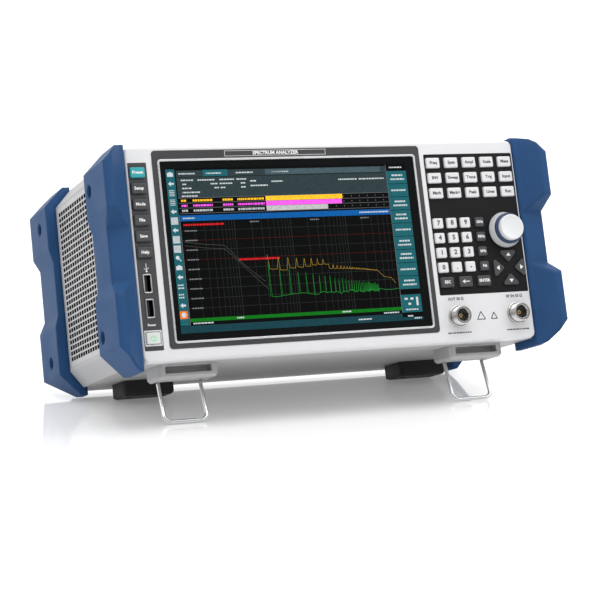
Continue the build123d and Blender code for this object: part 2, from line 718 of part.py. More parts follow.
def main_board():
    """Digital board on the floor of the case, with its larger parts."""
    pieces = [block((-170, 84), (60, 178), (12.0, 13.6))]
    pieces.append(block((-60, -25), (95, 130), (13.6, 22.0)))
    pieces.append(block((0, 30), (90, 120), (13.6, 16.0)))
    pieces.append(block((50, 68), (80, 140), (13.6, 17.0)))
    pieces.append(block((-150, -110), (80, 110), (13.6, 18.0)))
    for x in (-164, 78):
        for y in (66, 172):
            pieces.append(Pos(x, y, 7.0) * Cylinder(3.0, 10.0))
    return pieces


def rf_module():
    """Milled shield box over the front jacks, with its lid screws."""
    body = block((88, 178), (26, 118), (12, 44))
    body = fillet(body.edges().filter_by(Axis.Z), 3.0)
    lid = [Pos(x, y, 45.0) * Cylinder(1.8, 2.0) for x in (94, 133, 172) for y in (32, 72, 112)]
    rods = [rod(x, JACK_Z, 1.8, 22.0, 26.0) for x in JACKS_X.values()]
    return [body] + lid + rods


def power_supply():
    """Open-frame supply in its bracket behind the mains inlet."""
    bracket = block((100, 172), (126, 174), (50, 51.5)) + block((170.5, 172), (126, 174), (50, 92))
    parts = [
        block((108, 134), (134, 160), (53.1, 80)),
        block((140, 164), (132, 150), (53.1, 72)),
        block((102, 168), (128, 172), (51.5, 53.1)),
    ]
    cans = [Pos(x, 164, 61.1) * Cylinder(6.0, 16.0) for x in (144, 159)]
    return [bracket] + parts + cans


# ---- standing up and writing ------------------------------------------------
def as_list(made):
    items = made if isinstance(made, (list, ShapeList)) else [made]
    return [solid for item in items for solid in item.solids()]


def build_nodes():
    """Node name to its level solids."""
    nodes = {
        "front_bezel": front_bezel(),
        "display_frame": display_frame(),
        "display_trim": display_trim(),
        "touch_glass": touch_glass(),
        "lcd_module": lcd_module(),
        "left_overlay": left_overlay(),
        "keypad_overlay": keypad_overlay(),
        "power_key_frame": power_key_frame(),
        "power_key": square_key(POWER_XZ, POWER_KEY, 1.6),
        "front_usb_ports": front_usb_ports(),
        "tuning_knob": tuning_knob(),
        "knob_skirt": knob_skirt(),
        "keypad_board": keypad_board(),
        "jack_centres": jack_centres(),
        "case_sleeve": case_sleeve(),
        "side_grille_left": side_grille(-1),
        "side_grille_right": side_grille(1),
        "rear_panel": rear_panel(),
        "bumper_front_left": bumper_at(False, True),
        "bumper_front_right": bumper_at(True, True),
        "bumper_rear_left": bumper_at(False, False),
        "bumper_rear_right": bumper_at(True, False),
        "bumper_screws": bumper_screws(),
        "front_feet": front_feet(),
        "rear_feet": rear_feet(),
        "bail_left": bail(-1),
        "bail_right": bail(1),
        "case_screws": case_screws(),
        "rear_bnc_jacks": rear_bnc_jacks(),
        "rear_data_ports": rear_data_ports(),
        "mains_inlet": mains_inlet(),
        "mains_rocker": mains_rocker(),
        "fan_frame": fan_frame(),
        "fan_rotor": fan_rotor(),
        "main_board": main_board(),
        "rf_module": rf_module(),
        "power_supply": power_supply(),
    }
    for name in JACKS_X:
        nodes[name] = n_jack(name)
    for name, spot in side_key_spots().items():
        nodes[name] = square_key(spot, SIDE_KEY)
    for row in range(3):
        nodes[f"function_key_row_{row + 1}"] = key_row(function_row(row), FUNCTION_KEY)
    for row in range(4):
        nodes[f"number_key_row_{row + 1}"] = key_row(number_row(row), NUMBER_KEY)
    nodes["unit_keys"] = key_row(unit_spots(), UNIT_KEY)
    for name, spot in control_spots().items():
        nodes[name] = square_key(spot, CONTROL_KEY)
    for turn, name in enumerate(ARROW_NAMES):
        nodes[name] = arrow_key(turn)
    return {name: as_list(made) for name, made in nodes.items()}


def standing(nodes):
    """Tilts everything back, then puts the middle of its footprint on the origin."""
    lean = Rot(-TILT, 0, 0)
    leaned = {name: [lean * solid for solid in solids] for name, solids in nodes.items()}
    boxes = [solid.bounding_box() for solids in leaned.values() for solid in solids]
    middle = (min(box.min.Y for box in boxes) + max(box.max.Y for box in boxes)) / 2
    shift = Pos(0, -middle, -FLOOR_Z0 * cos(TAU))
    return {name: [shift * solid for solid in solids] for name, solids in leaned.items()}, shift


NODES, SHIFT = standing(build_nodes())
os.makedirs("parts", exist_ok=True)
for node, solids in NODES.items():
    shape = solids[0] if len(solids) == 1 else Compound(solids)
    export_step(shape, f"parts/{node}.step")
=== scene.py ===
"""Looks of the bench spectrum analyzer: finishes for the CAD pieces, and the fine pieces on them.

Sizes are given level, in millimetres, as the instrument would be with its front upright: X to
the viewer's right, Y into the instrument, Z up.  LEVEL carries them into the row frame.
"""

import json
import math
import random

import bmesh
import bpy
from mathutils import Matrix, Vector


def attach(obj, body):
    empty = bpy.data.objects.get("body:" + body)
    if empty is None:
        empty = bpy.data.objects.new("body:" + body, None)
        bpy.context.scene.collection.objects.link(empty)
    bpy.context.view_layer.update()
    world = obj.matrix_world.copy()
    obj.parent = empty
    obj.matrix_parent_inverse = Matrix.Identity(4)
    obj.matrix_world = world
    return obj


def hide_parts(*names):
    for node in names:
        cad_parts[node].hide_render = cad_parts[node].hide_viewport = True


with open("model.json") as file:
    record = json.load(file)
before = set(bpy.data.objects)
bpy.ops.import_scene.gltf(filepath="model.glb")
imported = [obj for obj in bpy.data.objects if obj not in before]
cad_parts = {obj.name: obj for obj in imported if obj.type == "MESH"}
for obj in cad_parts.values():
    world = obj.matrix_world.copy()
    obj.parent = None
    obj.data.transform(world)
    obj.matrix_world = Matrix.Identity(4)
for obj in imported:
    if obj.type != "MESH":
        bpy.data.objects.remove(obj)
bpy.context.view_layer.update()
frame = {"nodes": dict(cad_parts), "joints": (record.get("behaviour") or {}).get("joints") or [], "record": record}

# ---- the level frame --------------------------------------------------------
JOINTS = {joint["name"]: joint for joint in frame["joints"]}
INTO = Vector(JOINTS["preset_key_press"]["axis"])
LEAN = Matrix.Rotation(math.atan2(INTO.z, INTO.y), 4, "X")
KNOB = (160.6, 95.2)
KNOB_AT = Vector(JOINTS["knob_turn"]["pos_m"])
LEVEL = Matrix.Translation(KNOB_AT - LEAN @ Vector((KNOB[0], 0, KNOB[1])) / 1000) @ LEAN


# ---- node materials ---------------------------------------------------------
def new_material(name):
    material = bpy.data.materials.new(name)
    material.use_nodes = True
    nodes, links = material.node_tree.nodes, material.node_tree.links
    nodes.clear()
    shader = nodes.new("ShaderNodeBsdfPrincipled")
    output = nodes.new("ShaderNodeOutputMaterial")
    links.new(shader.outputs[0], output.inputs[0])
    return material, nodes, links, shader


def noise(nodes, links, coord, scale, detail=3.0, stretch=None):
    vector = coord.outputs["Object"]
    if stretch:
        mapping = nodes.new("ShaderNodeMapping")
        mapping.inputs["Scale"].default_value = stretch
        links.new(vector, mapping.inputs["Vector"])
        vector = mapping.outputs["Vector"]
    node = nodes.new("ShaderNodeTexNoise")
    node.inputs["Scale"].default_value = scale
    node.inputs["Detail"].default_value = detail
    links.new(vector, node.inputs["Vector"])
    return node.outputs["Fac"]


def spread(nodes, links, value, low, high, at=(0.3, 0.7)):
    node = nodes.new("ShaderNodeMapRange")
    node.inputs["From Min"].default_value, node.inputs["From Max"].default_value = at
    node.inputs["To Min"].default_value, node.inputs["To Max"].default_value = low, high
    links.new(value, node.inputs["Value"])
    return node.outputs["Result"]


def mixed(nodes, links, factor, first, second):
    node = nodes.new("ShaderNodeMix")
    node.data_type = "RGBA"
    links.new(factor, node.inputs["Factor"])
    for socket, value in ((node.inputs[6], first), (node.inputs[7], second)):
        if hasattr(value, "is_linked"):
            links.new(value, socket)
        else:
            socket.default_value = (*value, 1)
    return node.outputs[2]


def shaded(colour, amount):
    return tuple(min(1.0, channel * amount) for channel in colour)


def surface(name, colour, rough, grain=1400, bump=0.25, depth=0.00004, mottle=0.08, metal=0.0,
            coat=0.0, edge=0.0006, edge_highlight=0.35, specular=0.5, stretch=None, swing=0.06):
    """A finish with grain, uneven colour and gloss, and softened edges with a painted highlight that lightens
    them.
    """
    material, nodes, links, shader = new_material(name)
    coord = nodes.new("ShaderNodeTexCoord")
    fine = noise(nodes, links, coord, grain, 2.0, stretch)
    broad = noise(nodes, links, coord, 22, 4.0)
    patch = mixed(
        nodes, links, spread(nodes, links, broad, 0, 1),
        shaded(colour, 1 - mottle), shaded(colour, 1 + mottle),
    )
    speck = mixed(
        nodes, links, spread(nodes, links, fine, 0, 0.35), patch, shaded(colour, 1 - 2 * mottle)
    )
    rounded = nodes.new("ShaderNodeBevel")
    rounded.samples = 4
    rounded.inputs["Radius"].default_value = edge
    flat = nodes.new("ShaderNodeNewGeometry")
    facing = nodes.new("ShaderNodeVectorMath")
    facing.operation = "DOT_PRODUCT"
    links.new(rounded.outputs["Normal"], facing.inputs[0])
    links.new(flat.outputs["Normal"], facing.inputs[1])
    # Painted highlight: where the bevel normal turns from the face normal, the colour is lightened 1.35 times, or
    # pale grey on metals.
    edges = spread(nodes, links, facing.outputs["Value"], edge_highlight, 0, (0.86, 0.985))
    highlighted = mixed(nodes, links, edges, speck, shaded(colour, 1.35) if not metal else (0.9, 0.9, 0.9))
    links.new(highlighted, shader.inputs["Base Color"])
    links.new(
        spread(nodes, links, broad, rough - swing, rough + swing), shader.inputs["Roughness"]
    )
    relief = nodes.new("ShaderNodeBump")
    relief.inputs["Strength"].default_value = bump
    relief.inputs["Distance"].default_value = depth
    links.new(fine, relief.inputs["Height"])
    links.new(rounded.outputs["Normal"], relief.inputs["Normal"])
    links.new(relief.outputs["Normal"], shader.inputs["Normal"])
    shader.inputs["Metallic"].default_value = metal
    shader.inputs["Coat Weight"].default_value = coat
    shader.inputs["Coat Roughness"].default_value = 0.08
    shader.inputs["Specular IOR Level"].default_value = specular
    return material


GLOW_GRAIN, GLOW_VARY = 420, 0.12


def glow(name, colour, strength=1.0):
    """A lit part of the display under its glossy glass, with a fine unevenness."""
    material, nodes, links, shader = new_material(name)
    coord = nodes.new("ShaderNodeTexCoord")
    cells = noise(nodes, links, coord, GLOW_GRAIN, 1.0)
    tone = mixed(
        nodes, links, spread(nodes, links, cells, 0, 1),
        shaded(colour, 1 - GLOW_VARY), shaded(colour, 1 + GLOW_VARY),
    )
    links.new(tone, shader.inputs["Emission Color"])
    shader.inputs["Emission Strength"].default_value = strength
    shader.inputs["Base Color"].default_value = (*shaded(colour, 0.2), 1)
    shader.inputs["Specular IOR Level"].default_value = 0.12
    links.new(spread(nodes, links, cells, 0.05, 0.12), shader.inputs["Roughness"])
    return material


WHITE = surface("bezel_finish", (0.68, 0.68, 0.692), 0.42, grain=1900, bump=0.3, mottle=0.015,
                edge_highlight=0.15)
CASE = surface("case_finish", (0.42, 0.42, 0.425), 0.5, grain=1500, bump=0.5, mottle=0.03)
GRILLE = surface("grille_finish_and_slot_shade", (0.50, 0.50, 0.51), 0.5, grain=1500, bump=0.4, mottle=0.03,
                 edge=0.0002)
# The bumper edges carry a wide painted highlight, from a 4.8 mm edge radius.
BLUE = surface("bumper_finish", (0.014, 0.062, 0.170), 0.55, grain=1500, bump=0.75,
               depth=0.00008, mottle=0.08, edge=0.0048, edge_highlight=0.22, specular=0.22)
FRAME = surface("frame_finish", (0.050, 0.050, 0.052), 0.42, grain=1800, bump=0.35, mottle=0.05,
                edge=0.0008, edge_highlight=0.3, specular=0.25)
SILVER = surface("trim_finish", (0.62, 0.63, 0.64), 0.28, grain=900, bump=0.08, mottle=0.03,
                 metal=0.55, edge=0.0005, swing=0.04)
GLASS = surface("glass_finish", (0.003, 0.0035, 0.004), 0.06, grain=60, bump=0.01, mottle=0.2,
                edge=0.0004, edge_highlight=0.05, specular=0.15, swing=0.02)
OVERLAY = surface("overlay_finish", (0.008, 0.008, 0.009), 0.45, grain=2200, bump=0.3,
                  mottle=0.08, edge=0.0003, edge_highlight=0.2, specular=0.15)
STRIP = surface("strip_finish", (0.060, 0.060, 0.063), 0.45, grain=2200, bump=0.3, mottle=0.05,
                edge=0.0003, edge_highlight=0.2, specular=0.2)
KEY_WHITE = surface("key_white_finish", (0.66, 0.66, 0.67), 0.45, grain=1700, bump=0.2,
                    mottle=0.02, edge=0.0009, edge_highlight=0.1)
KEY_DARK = surface("key_dark_finish", (0.060, 0.061, 0.064), 0.42, grain=1700, bump=0.25,
                   mottle=0.06, edge=0.0009, edge_highlight=0.25, specular=0.25)
KEY_TEAL = surface("key_teal_finish", (0.020, 0.33, 0.36), 0.42, grain=1700, bump=0.2,
                   mottle=0.04, edge=0.0009, edge_highlight=0.2)
KEY_POWER = surface("key_power_finish", (0.66, 0.69, 0.66), 0.35, grain=1700, bump=0.15,
                    mottle=0.03, edge=0.0008, edge_highlight=0.1)
CAP = surface("knob_cap_finish", (0.68, 0.69, 0.70), 0.22, grain=1200, bump=0.05, mottle=0.015,
              coat=0.4, edge=0.0008, edge_highlight=0.1)
RING = surface("knob_ring_finish", (0.020, 0.042, 0.105), 0.35, grain=1600, bump=0.25,
               mottle=0.06, edge=0.0006, edge_highlight=0.2)
SKIRT = surface("knob_skirt_finish", (0.48, 0.49, 0.50), 0.36, grain=1500, bump=0.2,
                mottle=0.03, edge=0.0006)
NICKEL = surface("nickel_finish", (0.52, 0.51, 0.50), 0.14, grain=1800, bump=0.12, mottle=0.06,
                 metal=1.0, edge=0.0003)
CHROME = surface("bail_finish", (0.72, 0.73, 0.74), 0.14, grain=1300, bump=0.06, mottle=0.05,
                 metal=1.0, edge=0.0003)
STEEL = surface("port_finish", (0.62, 0.62, 0.62), 0.3, grain=900, bump=0.15, mottle=0.06,
                metal=1.0, edge=0.0003, stretch=(1, 8, 1))
SCREW = surface("screw_finish", (0.30, 0.30, 0.31), 0.36, grain=1200, bump=0.2, mottle=0.1,
                metal=1.0, edge=0.0003)
BRASS = surface("contact_finish", (0.80, 0.56, 0.22), 0.25, grain=1500, bump=0.1, mottle=0.08,
                metal=1.0, edge=0.0002)
FOOT = surface("foot_finish", (0.42, 0.42, 0.425), 0.5, grain=1500, bump=0.5, mottle=0.05,
               edge=0.001)
# Painted shade: a near-black copy of the foot grey, for the rear feet that sit in shadow.
FOOT_IN_SHADE = surface("rear_foot_painted_shade", (0.022, 0.022, 0.023), 0.5, grain=1500, bump=0.5,
                    mottle=0.1, edge=0.001, specular=0.25)
BLACK = surface("moulding_finish", (0.018, 0.018, 0.019), 0.42, grain=1700, bump=0.3,
                mottle=0.15, edge=0.0005, edge_highlight=0.3)
BOARD = surface("board_finish", (0.010, 0.085, 0.040), 0.4, grain=700, bump=0.5, mottle=0.3,
                edge=0.0002, edge_highlight=0.3)
ALLOY = surface("alloy_finish", (0.66, 0.66, 0.67), 0.34, grain=900, bump=0.2, mottle=0.06,
                metal=1.0, edge=0.0006, stretch=(1, 12, 1))
INK = surface("ink_finish", (0.030, 0.030, 0.034), 0.5, grain=2500, bump=0.1, mottle=0.1,
              edge=0.00005, edge_highlight=0.0)
PRINT = surface("print_finish", (0.78, 0.78, 0.78), 0.5, grain=2500, bump=0.1, mottle=0.05,
                edge=0.00005, edge_highlight=0.0)

FINISHES = {
    "bezel_white": WHITE, "frame_grey": FRAME, "trim_silver": SILVER, "screen_glass": GLASS,
    "module_steel": STEEL, "overlay_grey": STRIP, "overlay_black": OVERLAY, "key_white": KEY_WHITE,
    "key_dark": KEY_DARK, "key_teal": KEY_TEAL, "key_power": KEY_POWER, "knob_white": CAP,
    "knob_blue": RING, "port_steel": STEEL, "jack_nickel": NICKEL, "contact_brass": BRASS,
    "case_grey": CASE, "bumper_blue": BLUE, "screw_steel": SCREW, "foot_grey": FOOT,
    "bail_chrome": CHROME, "inlet_black": BLACK, "board_green": BOARD, "module_alloy": ALLOY,
}
for part in frame["record"]["subparts"]:
    mesh = frame["nodes"][part["node"]].data
    mesh.materials.clear()
    mesh.materials.append(FINISHES[part["material_slot"]])
for side in ("left", "right"):
    frame["nodes"][f"side_grille_{side}"].data.materials[0] = GRILLE
# The rear feet take the painted shade copy of the foot finish.
frame["nodes"]["rear_feet"].data.materials[0] = FOOT_IN_SHADE


def painted_shade_behind(name, like, depth, colour, metal):
    """The finish of a part with painted shade: it turns to another, darker colour deeper than a level-frame Y."""
    material = like.copy()
    material.name = name
    nodes, links = material.node_tree.nodes, material.node_tree.links
    shader = next(node for node in nodes if node.type == "BSDF_PRINCIPLED")
    tone = shader.inputs["Base Color"].links[0].from_socket
    coord = next(node for node in nodes if node.type == "TEX_COORD")
    along = nodes.new("ShaderNodeVectorMath")
    along.operation = "DOT_PRODUCT"
    along.inputs[1].default_value = INTO
    links.new(coord.outputs["Object"], along.inputs[0])
    start = (LEVEL @ Vector((0, depth / 1000, 0))).dot(INTO)
    deep = spread(nodes, links, along.outputs["Value"], 0, 1, (start, start + 0.0001))
    links.new(mixed(nodes, links, deep, tone, colour), shader.inputs["Base Color"])
    links.new(
        spread(nodes, links, along.outputs["Value"], 1, metal, (start, start + 0.0001)),
        shader.inputs["Metallic"],
    )
    return material


def shade_slot_walls(material):
    """Leaves the outer skin of a perforated plate as it is and paints shade on the walls of its slots."""
    nodes, links = material.node_tree.nodes, material.node_tree.links
    shader = next(node for node in nodes if node.type == "BSDF_PRINCIPLED")
    tone = shader.inputs["Base Color"].links[0].from_socket
    across = nodes.new("ShaderNodeSeparateXYZ")
    links.new(nodes.new("ShaderNodeNewGeometry").outputs["True Normal"], across.inputs[0])
    size = nodes.new("ShaderNodeMath")
    size.operation = "ABSOLUTE"
    links.new(across.outputs["X"], size.inputs[0])
    # Painted shade: faces that do not face along X, the slot walls, go near black.
    wall_shade = spread(nodes, links, size.outputs[0], 1, 0, (0.4, 0.6))
    links.new(mixed(nodes, links, wall_shade, tone, (0.012, 0.012, 0.012)), shader.inputs["Base Color"])


shade_slot_walls(GRILLE)
# Painted shade: the USB ports go near black deeper than 0.2 mm, the jack centres dark brown deeper than -2.75 mm.
frame["nodes"]["front_usb_ports"].data.materials[0] = painted_shade_behind(
    "usb_painted_shade", STEEL, 0.2, (0.004, 0.004, 0.004), 0
)
frame["nodes"]["jack_centres"].data.materials[0] = painted_shade_behind(
    "jack_centre_painted_shade", BRASS, -2.75, (0.05, 0.045, 0.04), 0
)

for name in ("bail_left", "bail_right", "rear_bnc_jacks", "bumper_screws", "case_screws"):
    mesh = frame["nodes"][name].data
    mesh.shade_smooth()
    mesh.set_sharp_from_angle(angle=math.radians(32))


# ---- building pieces --------------------------------------------------------
class Piece:
    """Gathers closed solids in level millimetres, then becomes one mesh object."""

    def __init__(self):
        self.points, self.faces = [], []

    def prism(self, outline, front, back):
        """A plate: an XZ outline from Y = front to Y = back."""
        start, count = len(self.points), len(outline)
        area = sum(
            a[0] * b[1] - b[0] * a[1] for a, b in zip(outline, outline[1:] + outline[:1])
        )
        outline = outline if area > 0 else outline[::-1]
        for y in (front, back):
            self.points += [(x, y, z) for x, z in outline]
        self.faces.append([start + i for i in range(count)])
        self.faces.append([start + count + i for i in reversed(range(count))])
        for i in range(count):
            j = (i + 1) % count
            self.faces.append([start + j, start + i, start + count + i, start + count + j])

    def bar(self, x, z, front, back):
        self.prism([(x[0], z[0]), (x[1], z[0]), (x[1], z[1]), (x[0], z[1])], front, back)

    def disc(self, x, z, radius, front, back, count=24):
        angles = [2 * math.pi * i / count for i in range(count)]
        self.prism(
            [(x + radius * math.cos(a), z + radius * math.sin(a)) for a in angles], front, back
        )

    def line(self, path, width, front, back):
        """A thin strip along each stretch of a path."""
        for (x0, z0), (x1, z1) in zip(path, path[1:]):
            length = math.hypot(x1 - x0, z1 - z0)
            if length < 1e-6:
                continue
            dx, dz = -(z1 - z0) / length * width / 2, (x1 - x0) / length * width / 2
            self.prism(
                [(x0 - dx, z0 - dz), (x1 - dx, z1 - dz), (x1 + dx, z1 + dz), (x0 + dx, z0 + dz)],
                front, back,
            )

    def lathe(self, x, z, profile, count=72):
        """A ring or disc about a line along Y: profile is a closed loop of (radius, y)."""
        rings = []
        for radius, y in profile:
            if radius < 1e-6:
                rings.append([len(self.points)])
                self.points.append((x, y, z))
                continue
            rings.append(list(range(len(self.points), len(self.points) + count)))
            for i in range(count):
                a = 2 * math.pi * i / count
                self.points.append((x + radius * math.cos(a), y, z + radius * math.sin(a)))
        pairs = list(zip(rings, rings[1:]))
        if len(rings[0]) > 1:
            pairs.append((rings[-1], rings[0]))
        for a, b in pairs:
            for i in range(count):
                j = (i + 1) % count
                if len(a) == 1 and len(b) == 1:
                    continue
                if len(a) == 1:
                    self.faces.append([a[0], b[i], b[j]])
                elif len(b) == 1:
                    self.faces.append([a[i], b[0], a[j]])
                else:
                    self.faces.append([a[i], b[i], b[j], a[j]])

    def make(self, name, material, body="chassis", slot=None, smooth=None):
        mesh = bpy.data.meshes.new(name)
        mesh.from_pydata([LEVEL @ (Vector(p) / 1000) for p in self.points], [], self.faces)
        build = bmesh.new()
        build.from_mesh(mesh)
        bmesh.ops.recalc_face_normals(build, faces=build.faces)
        build.to_mesh(mesh)
        build.free()
        if smooth:
            mesh.shade_smooth()
            mesh.set_sharp_from_angle(angle=math.radians(smooth))
        mesh.materials.append(material)
        thing = bpy.data.objects.new(name, mesh)
        bpy.context.scene.collection.objects.link(thing)
        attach(thing, body)
        return thing


FLAT_TEXT = LEAN @ Matrix.Rotation(math.radians(90), 4, "X")


def letters(name, text, height, thick, bold):
    """One word as a mesh in its own plane, its outline thickened by a share of its height."""
    curve = bpy.data.curves.new(name, "FONT")
    curve.body = text
    curve.align_x, curve.align_y = "CENTER", "CENTER"
    curve.size = height / 1000 * 1.35
    curve.extrude = thick / 2000
    curve.offset = bold * curve.size
    curve.resolution_u = 2
    thing = bpy.data.objects.new(name, curve)
    bpy.context.scene.collection.objects.link(thing)
    bpy.context.view_layer.update()
    graph = bpy.context.evaluated_depsgraph_get()
    mesh = bpy.data.meshes.new_from_object(thing.evaluated_get(graph))
    bpy.data.objects.remove(thing)
    bpy.data.curves.remove(curve)
    build = bmesh.new()
    build.from_mesh(mesh)
    bmesh.ops.remove_doubles(build, verts=build.verts, dist=2e-6)
    closed = all(len(edge.link_faces) == 2 for edge in build.edges)
    build.to_mesh(mesh)
    build.free()
    return mesh, closed


def lettering(name, words, material, body="chassis", front=-0.05, thick=0.05):
    """Raised print: words is a list of (text, x, z, height)."""
    build = bmesh.new()
    for text, x, z, height in words:
        for bold in (0.035, 0.025, 0.015, 0.0):
            mesh, closed = letters(name, text, height, thick, bold)
            if closed:
                break
        centre = LEVEL @ (Vector((x, front - thick / 2, z)) / 1000)
        mesh.transform(Matrix.Translation(centre) @ FLAT_TEXT)
        build.from_mesh(mesh)
        bpy.data.meshes.remove(mesh)
    mesh = bpy.data.meshes.new(name)
    build.to_mesh(mesh)
    build.free()
    mesh.materials.append(material)
    thing = bpy.data.objects.new(name, mesh)
    bpy.context.scene.collection.objects.link(thing)
    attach(thing, body)


# ---- display ----------------------------------------------------------------
GLASS_Y = 0.4
LAYER = 0.03                                # each layer of the picture stands this far forward
UI_X, UI_Z = (-145.4, 72.4), (20.8, 156.8)
ICONS_X = (-145.0, -137.4)
PLOT_X, PLOT_Z = (-136.2, 53.0), (33.2, 112.6)
SOFT_X = (53.6, 72.2)
SOFT_PITCH = 11.42                          # soft keys down the right side
ICON_AT, ICON_PITCH = (-141.3, 151.7), 7.7  # first icon down the left side
WORDS_LEVEL = 2                             # layer that carries the small print


def layer(level):
    return GLASS_Y - LAYER * (level + 1), GLASS_Y - LAYER * level


def panel(name, rectangles, material, level):
    piece = Piece()
    for x, z in rectangles:
        piece.bar(x, z, *layer(level))
    return piece.make(name, material)


BACKLIGHT = glow("ui_black", (0.0020, 0.0022, 0.0025), 0.6)
SLATE = glow("ui_slate", (0.026, 0.042, 0.047), 1.0)
SLATE_LIGHT = glow("ui_slate_light", (0.055, 0.090, 0.105), 1.0)
TEAL = glow("ui_teal", (0.012, 0.105, 0.125), 1.0)
TEAL_DARK = glow("ui_teal_dark", (0.008, 0.045, 0.058), 1.0)
UI_WHITE = glow("ui_white", (0.52, 0.56, 0.58), 1.0)
UI_GREY = glow("ui_grey", (0.16, 0.17, 0.18), 1.0)
UI_PALE = glow("ui_pale", (0.42, 0.45, 0.47), 1.0)
AMBER = glow("ui_amber", (0.95, 0.50, 0.02), 1.0)
MAGENTA = glow("ui_magenta", (0.85, 0.10, 0.75), 1.0)
ASH = glow("ui_ash", (0.46, 0.46, 0.46), 1.0)
UI_BLUE = glow("ui_blue", (0.003, 0.090, 0.32), 1.0)
UI_DIM = glow("ui_dim", (0.075, 0.078, 0.060), 1.0)
GRID = glow("ui_grid", (0.030, 0.033, 0.032), 1.0)
GRID_RED = glow("ui_grid_red", (0.10, 0.008, 0.007), 1.0)
RED = glow("ui_red", (0.60, 0.012, 0.018), 1.0)
GREEN = glow("ui_green", (0.012, 0.28, 0.030), 1.0)
GREEN_BAND = glow("ui_green_band", (0.004, 0.14, 0.008), 1.0)
YELLOW = glow("ui_yellow", (0.46, 0.28, 0.03), 1.0)
ORANGE = glow("ui_orange", (0.80, 0.16, 0.01), 1.0)

panel("screen_base", [(UI_X, UI_Z)], BACKLIGHT, 0)
panel(
    "screen_header",
    [((-136.2, 53.0), (131.9, 149.0)), ((-90.6, 53.0), (149.4, 154.8)),
     ((-136.2, -113.2), (149.4, 154.8))],
    SLATE, 1,
)
panel("screen_tab_bar", [((-58.0, 48.0), (150.0, 154.4))], SLATE_LIGHT, 2)
panel(
    "screen_teal",
    [(ICONS_X, (27.6, 156.0)), ((-113.0, -91.0), (149.5, 155.0))]
    + [(SOFT_X, (139.3 - SOFT_PITCH * i, 150.3 - SOFT_PITCH * i)) for i in range(9)]
    + [((53.0, 72.2), (28.0, 43.2))],
    TEAL, 1,
)
panel("screen_status", [((-145.2, 53.0), (21.2, 27.2)), ((53.1, 72.2), (21.3, 24.0))], TEAL_DARK, 1)
panel("screen_blue_band", [(PLOT_X, (112.8, 117.5))], UI_BLUE, 1)
panel("screen_green_band", [(PLOT_X, (30.1, 33.0))], GREEN_BAND, 1)
panel("screen_bar_amber", [((-59.9, 9.9), (127.8, 131.7))], AMBER, 1)
panel("screen_bar_magenta", [((-59.9, 9.0), (123.7, 127.5))], MAGENTA, 1)
panel("screen_bar_ash", [((-59.9, -4.3), (119.4, 123.4))], ASH, 1)
panel(
    "screen_rules",
    [(PLOT_X, (z, z + 0.25)) for z in (118.9, 123.45, 127.6, 131.8)]
    + [((53.1, 53.4), (28.0, 156.0)), ((-137.0, -136.6), (27.6, 118.0))],
    UI_GREY, 2,
)


def greeked(piece, x, z, width, height=1.1):
    """A run of short dashes that stands for a line of small print."""
    end = x + width
    while x < end - 0.6:
        dash = min(random.uniform(0.8, 2.6), end - x)
        piece.bar((x, x + dash), (z - height / 2, z + height / 2), *layer(WORDS_LEVEL))
        x += dash + 0.45


random.seed(7)
words = Piece()
for x, z, width in (
    (-134.0, 152.1, 14), (-110.0, 152.1, 13), (-84.0, 152.1, 15), (-52.0, 152.1, 15),
    (-132.5, 146.6, 11), (-118, 146.6, 15), (-99, 146.6, 13), (-84, 146.6, 9),
    (-131.5, 143.3, 4), (-107, 143.3, 6), (-99, 143.3, 11), (-80.5, 143.3, 4), (-72, 144.8, 6),
    (-132.0, 139.9, 8), (-104, 139.9, 4), (-98.5, 139.9, 4), (-80.5, 139.9, 4),
    (-132.0, 136.5, 15), (-133.0, 133.4, 14), (-72, 140.9, 16), (-53, 144.0, 10),
    (8.0, 144.2, 17), (27.0, 144.2, 24), (-134.0, 115.1, 10), (24.0, 115.3, 27),
    (-96.0, 31.6, 6), (-2.0, 31.6, 8), (-134, 28.9, 18), (36.0, 28.6, 15), (12.0, 24.3, 12),
    (58.0, 24.9, 5), (64.0, 22.9, 7), (56.5, 153.4, 12),
):
    greeked(words, x, z, width)
for i in range(9):
    z = 144.8 - SOFT_PITCH * i
    for dz, width in (((1.7, 10.0), (-1.7, 13.0)) if i % 3 != 1 else ((0.0, 14.0),)):
        greeked(words, 63.2 - width / 2, z + dz, width, 1.4)
greeked(words, 57.0, 30.4, 12)
words.make("screen_words", UI_WHITE)
for name, colour, z in (
    ("amber", AMBER, 129.7), ("magenta", MAGENTA, 125.5), ("ash", UI_PALE, 121.4),
):
    row = Piece()
    for x, width in ((-134.0, 5), (-124, 17), (-98, 9), (-85, 24)):
        greeked(row, x, z, width, 1.7)
    row.make(f"screen_row_{name}", colour)
ticks = Piece()
for z in (129.7, 125.5, 121.4):
    for i in range(15):
        x = -56.0 + 7.4 * i
        ticks.bar((x, x + 0.6), (z - 0.35, z + 0.35), *layer(2))
ticks.make("screen_ticks", UI_GREY)

